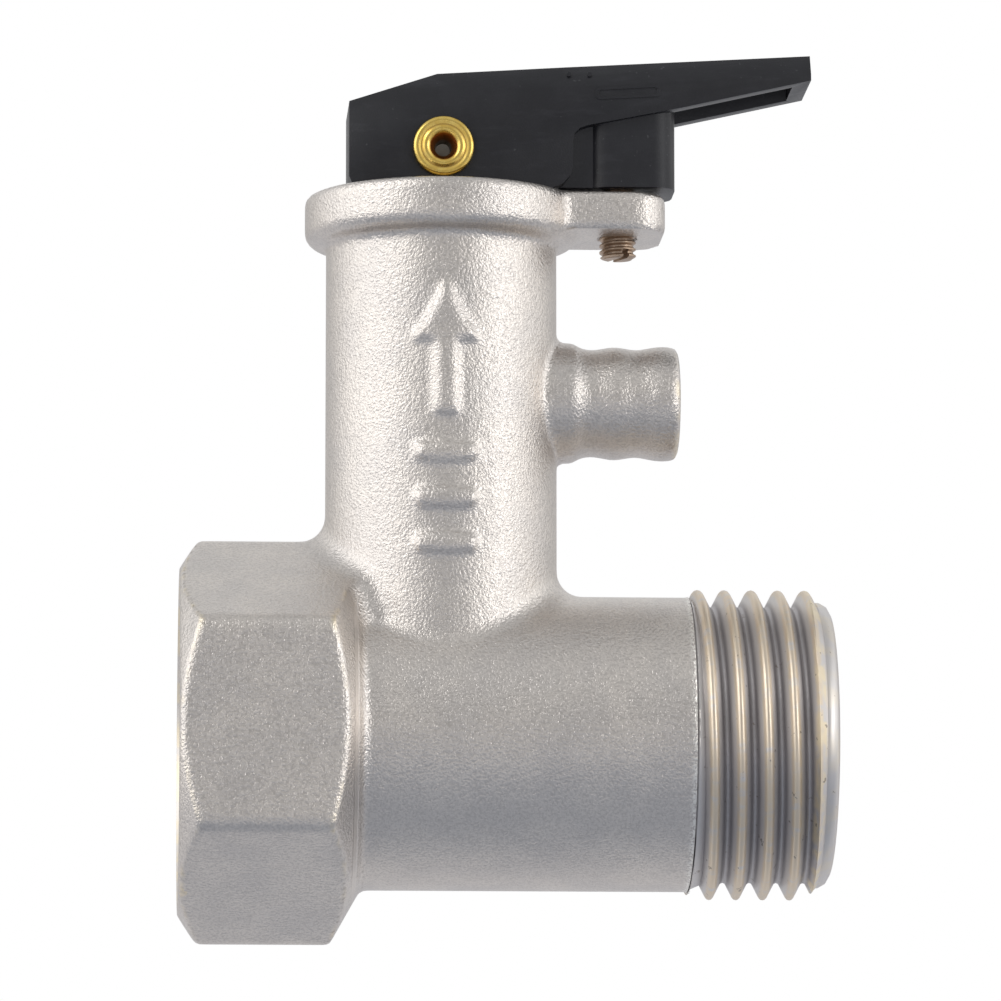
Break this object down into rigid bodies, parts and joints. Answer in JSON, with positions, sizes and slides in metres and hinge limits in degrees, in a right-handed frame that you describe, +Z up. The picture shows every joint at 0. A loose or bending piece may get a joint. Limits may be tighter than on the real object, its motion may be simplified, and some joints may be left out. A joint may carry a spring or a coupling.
{
  "type": "pressure relief valve",
  "caption": "Brass relief valve for a water heater: female hexagon port, male threaded port, tower with lever and drain nozzle, check valve inside.",
  "frame": {"origin": "centre of the heater port's mouth, on the pipe's axis", "axes": "+X along the pipe from the heater port to the supply port, +Z up the tower to the lever, -Y the side with the raised marks"},
  "size_m": [0.0439, 0.024, 0.0607],
  "materials": {
    "nickel_plated_brass": "satin nickel plate over a sandblasted hot forging, turned smooth at the threads",
    "turned_brass": "turned",
    "polished_brass": "polished",
    "stainless_steel": "drawn wire and stamped sheet",
    "bronzed_steel": "bronze-coloured passivation",
    "black_plastic": "moulded, satin",
    "white_plastic": "moulded, satin",
    "black_rubber": "matte",
    "red_rubber": "matte"
  },
  "bodies": {
    "valve": {"valve_body": "nickel_plated_brass", "adjusting_bush": "turned_brass", "stem_o_ring": "black_rubber", "spring_washer": "stainless_steel", "relief_spring": "stainless_steel", "check_guide": "white_plastic", "check_seat": "white_plastic", "check_o_ring": "black_rubber", "check_retainer": "stainless_steel", "check_spring": "stainless_steel"},
    "stem_assembly": {"stem": "turned_brass", "disc_holder": "turned_brass", "seat_disc": "red_rubber", "disc_washer": "stainless_steel", "disc_screw": "stainless_steel"},
    "lever_assembly": {"lever": "black_plastic", "pivot_rivet": "polished_brass"},
    "poppet_assembly": {"check_poppet": "white_plastic", "poppet_seal": "black_rubber"},
    "lock_screw": {"lock_screw": "bronzed_steel"}
  },
  "joints": [
    {"name": "relief_lift", "type": "slide", "parent": "valve", "child": "stem_assembly", "axis": [0, 0, 1], "range_m": [0, 0.0023], "deforming": ["relief_spring"]},
    {"name": "lever_lift", "type": "hinge", "parent": "stem_assembly", "child": "lever_assembly", "pos_m": [0.0177, 0, 0.04032], "axis": [0, -1, 0], "range_deg": [0, 26]},
    {"name": "check_open", "type": "slide", "parent": "valve", "child": "poppet_assembly", "axis": [-1, 0, 0], "range_m": [0, 0.0015], "stiffness_N_per_m": 60, "springref_m": -0.002, "deforming": ["check_spring"]},
    {"name": "lock_screw_travel", "type": "slide", "parent": "valve", "child": "lock_screw", "axis": [0, 0, -1], "range_m": [0, 0.004]}
  ],
  "couplings": [
    {"joint": "relief_lift", "follows": "lever_lift", "m_per_rad": 0.0049}
  ]
}
